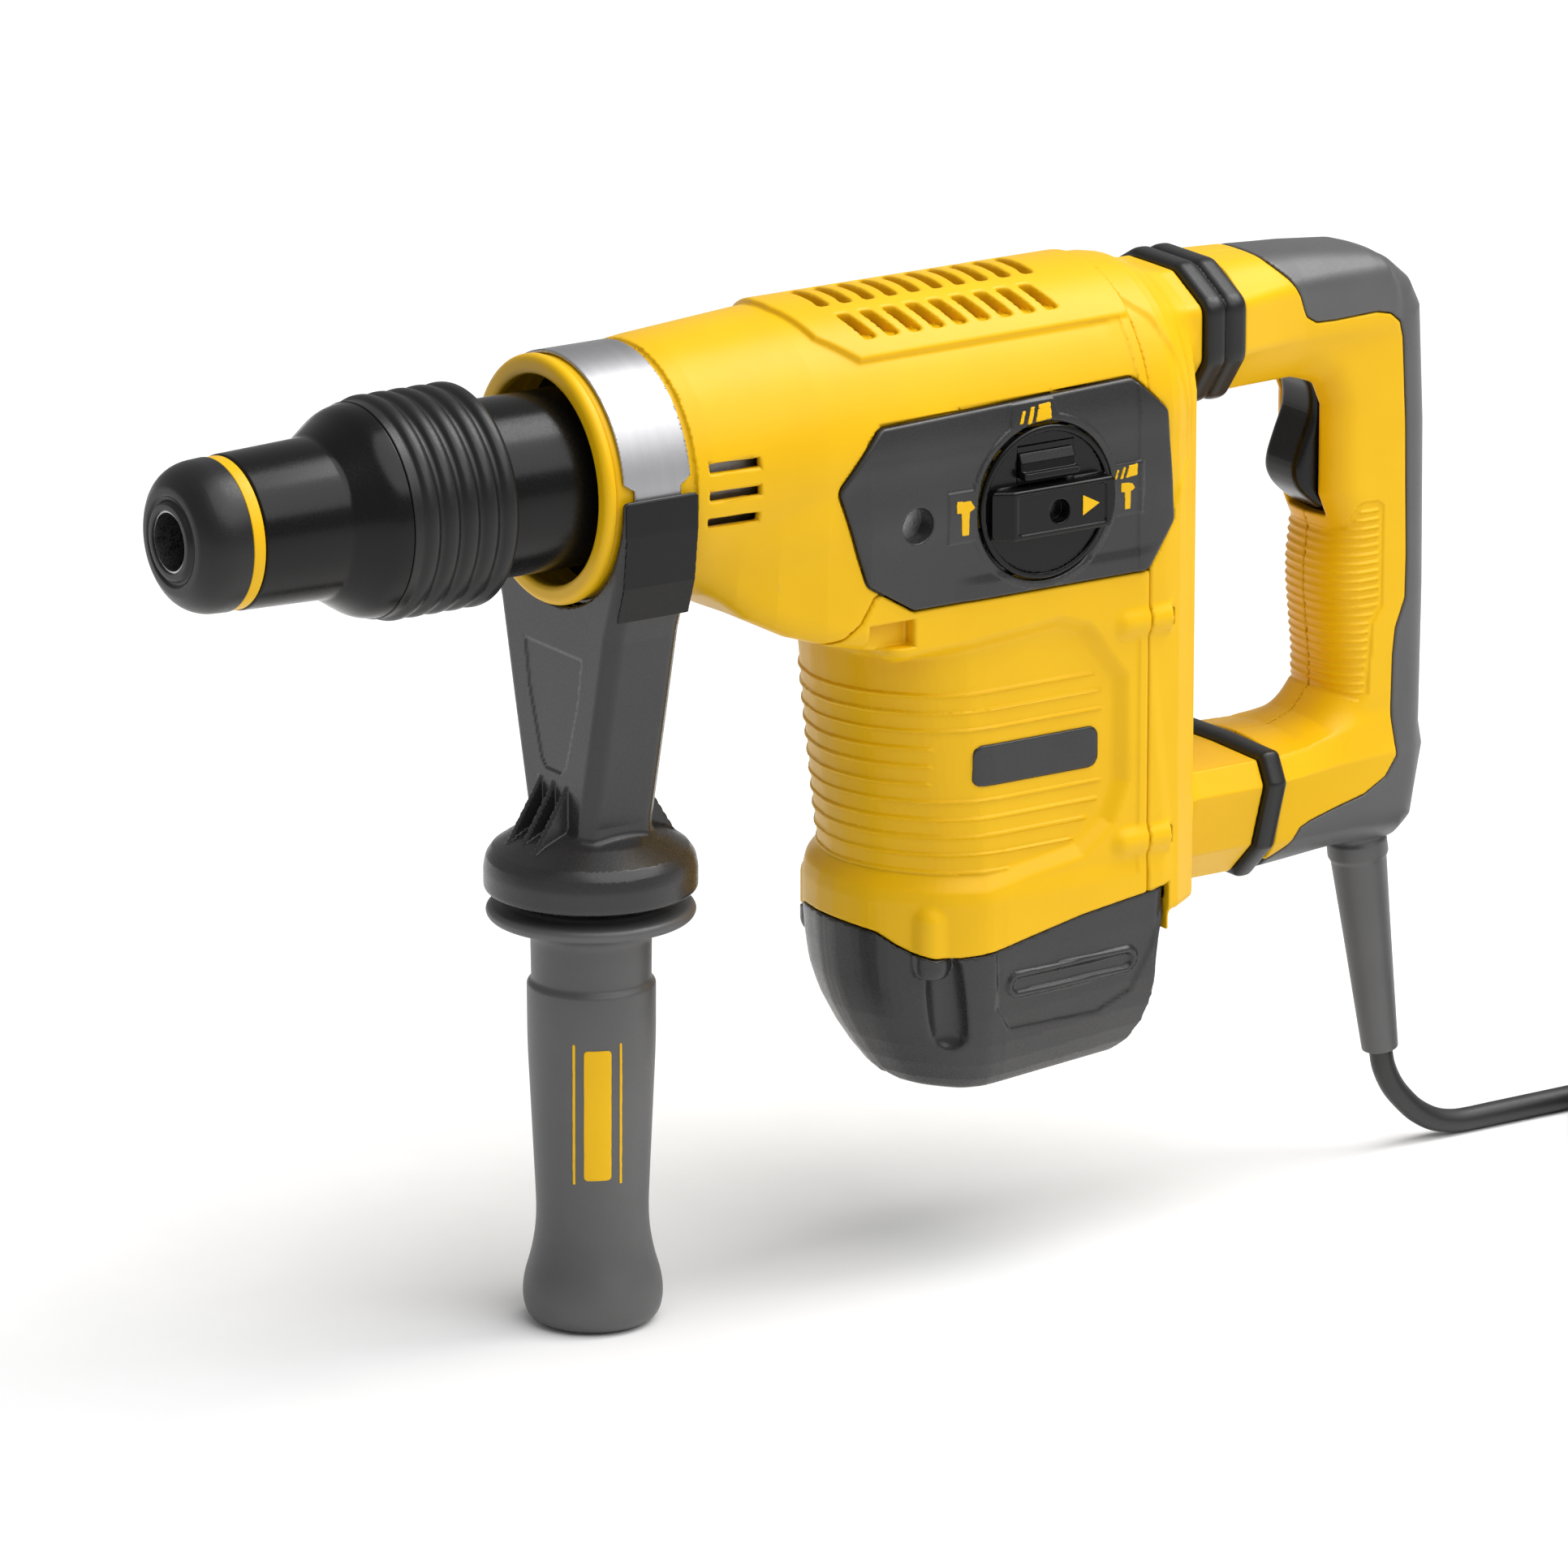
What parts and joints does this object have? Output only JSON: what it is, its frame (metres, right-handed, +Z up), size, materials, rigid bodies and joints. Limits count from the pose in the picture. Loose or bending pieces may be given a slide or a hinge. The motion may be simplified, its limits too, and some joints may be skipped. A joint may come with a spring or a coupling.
{
  "type": "combination rotary and demolition hammer",
  "caption": "L-shaped mains rotary and demolition hammer with keyed chuck, clamp-on side handle, mode selector and sprung D-handle on bellows.",
  "frame": {"origin": "centre of the tool holder's mouth, on the barrel axis", "axes": "+X forward out of the mouth along the barrel, +Y to the user's left, +Z up, away from the side handle"},
  "size_m": [0.648, 0.1726, 0.3215],
  "materials": {
    "yellow_plastic": "satin moulded polyamide, faintly textured",
    "dark_plastic": "satin dark grey moulded plastic",
    "black_plastic": "smooth black plastic",
    "soft_black": "soft black rubber, slightly glossy",
    "soft_grey": "soft-touch dark grey overmould",
    "machine_steel": "machined steel",
    "strap_steel": "satin rolled steel band",
    "cast_alloy": "die-cast light alloy",
    "copper": "bare copper and brass",
    "carbon": "pressed carbon",
    "lead_rubber": "black rubber sheath"
  },
  "bodies": {
    "housing": {"front_tube": "black_plastic", "front_ring": "yellow_plastic", "shaft_seal": "soft_black", "needle_bearing": "machine_steel", "spindle_bearing": "machine_steel", "crank_bearing": "machine_steel", "pinion_bearing": "machine_steel", "motor_bearings": "machine_steel", "stator": "machine_steel", "brush_holders": "copper", "brushes": "carbon", "gear_case": "cast_alloy", "gear_housing": "yellow_plastic", "motor_housing": "yellow_plastic", "rear_housing": "yellow_plastic", "motor_end_cap": "dark_plastic", "housing_screws": "machine_steel", "selector_plate": "dark_plastic", "upper_bellows": "soft_black", "lower_bellows": "soft_black", "handle_spring": "machine_steel", "handle_pivot_pin": "machine_steel", "cord_tube": "lead_rubber", "cord_coil": "lead_rubber", "plug_body": "lead_rubber", "plug_pins": "copper"},
    "spindle": {"nose_cap": "soft_black", "nose_ring": "yellow_plastic", "tool_holder": "machine_steel", "locking_rollers": "machine_steel", "cylinder": "machine_steel", "bevel_gear": "machine_steel", "sleeve_spring": "machine_steel"},
    "sleeve": {"locking_sleeve": "black_plastic", "sleeve_grip": "soft_black"},
    "beat_piece": {"beat_piece": "machine_steel"},
    "ram": {"ram": "machine_steel"},
    "piston": {"piston": "cast_alloy", "wrist_pin": "machine_steel", "connecting_rod": "cast_alloy"},
    "crank": {"crank_gear": "machine_steel"},
    "pinion": {"bevel_pinion": "machine_steel"},
    "armature": {"armature": "machine_steel", "commutator": "copper", "fan": "dark_plastic"},
    "selector": {"selector_knob": "black_plastic", "selector_shaft": "machine_steel"},
    "selector_lock": {"selector_lock": "black_plastic"},
    "handle": {"handle_left": "yellow_plastic", "handle_right": "yellow_plastic", "handle_overmould": "soft_grey", "switch_body": "dark_plastic", "trigger_pin": "machine_steel", "strain_relief": "soft_grey"},
    "trigger": {"trigger": "black_plastic"},
    "side_handle": {"strap": "strap_steel", "handle_bracket": "dark_plastic", "clamp_bolt": "machine_steel"},
    "grip": {"side_grip": "soft_grey", "grip_nut": "machine_steel"}
  },
  "joints": [
    {"name": "spindle_spin", "type": "hinge", "parent": "housing", "child": "spindle", "pos_m": [-0.1, 0, 0], "axis": [1, 0, 0], "continuous": true},
    {"name": "sleeve_slide", "type": "slide", "parent": "spindle", "child": "sleeve", "axis": [-1, 0, 0], "range_m": [0, 0.012], "stiffness_N_per_m": 900, "springref_m": -0.012, "deforming": ["sleeve_spring"]},
    {"name": "beat_slide", "type": "slide", "parent": "spindle", "child": "beat_piece", "axis": [1, 0, 0], "range_m": [0, 0.008]},
    {"name": "piston_slide", "type": "slide", "parent": "housing", "child": "piston", "axis": [1, 0, 0], "range_m": [-0.014, 0.014]},
    {"name": "ram_slide", "type": "slide", "parent": "housing", "child": "ram", "axis": [1, 0, 0], "range_m": [-0.0115, 0.0115]},
    {"name": "crank_spin", "type": "hinge", "parent": "housing", "child": "crank", "pos_m": [-0.262, 0, -0.033], "axis": [0, 0, 1], "continuous": true},
    {"name": "pinion_spin", "type": "hinge", "parent": "housing", "child": "pinion", "pos_m": [-0.214, 0, -0.033], "axis": [0, 0, 1], "continuous": true},
    {"name": "armature_spin", "type": "hinge", "parent": "housing", "child": "armature", "pos_m": [-0.294, 0, -0.033], "axis": [0, 0, 1], "continuous": true},
    {"name": "selector_turn", "type": "hinge", "parent": "housing", "child": "selector", "pos_m": [-0.2915, 0.044, -0.02], "axis": [0, 1, 0], "range_deg": [0, 180]},
    {"name": "lock_slide", "type": "slide", "parent": "selector", "child": "selector_lock", "axis": [0, 0, -1], "range_m": [0, 0.002], "stiffness_N_per_m": 800, "springref_m": -0.002},
    {"name": "handle_tilt", "type": "hinge", "parent": "housing", "child": "handle", "pos_m": [-0.394, 0, -0.142], "axis": [0, 1, 0], "range_deg": [0, 1.5], "stiffness_Nm_per_rad": 250, "springref_deg": -1.72, "deforming": ["upper_bellows", "lower_bellows", "handle_spring"]},
    {"name": "trigger_press", "type": "hinge", "parent": "handle", "child": "trigger", "pos_m": [-0.426, 0, -0.008], "axis": [0, 1, 0], "range_deg": [0, 7], "stiffness_Nm_per_rad": 2.5, "springref_deg": -5.73},
    {"name": "side_handle_swivel", "type": "hinge", "parent": "housing", "child": "side_handle", "pos_m": [-0.1507, 0, 0], "axis": [1, 0, 0], "range_deg": [-180, 180]},
    {"name": "grip_turn", "type": "hinge", "parent": "side_handle", "child": "grip", "pos_m": [-0.1507, 0, -0.2], "axis": [0, 0, 1], "range_deg": [0, 360]}
  ],
  "couplings": [
    {"joint": "pinion_spin", "follows": "spindle_spin", "ratio": 2.6667},
    {"joint": "crank_spin", "follows": "spindle_spin", "ratio": -1.9048},
    {"joint": "armature_spin", "follows": "spindle_spin", "ratio": 13.333},
    {"joint": "ram_slide", "follows": "piston_slide", "ratio": 0.8}
  ]
}
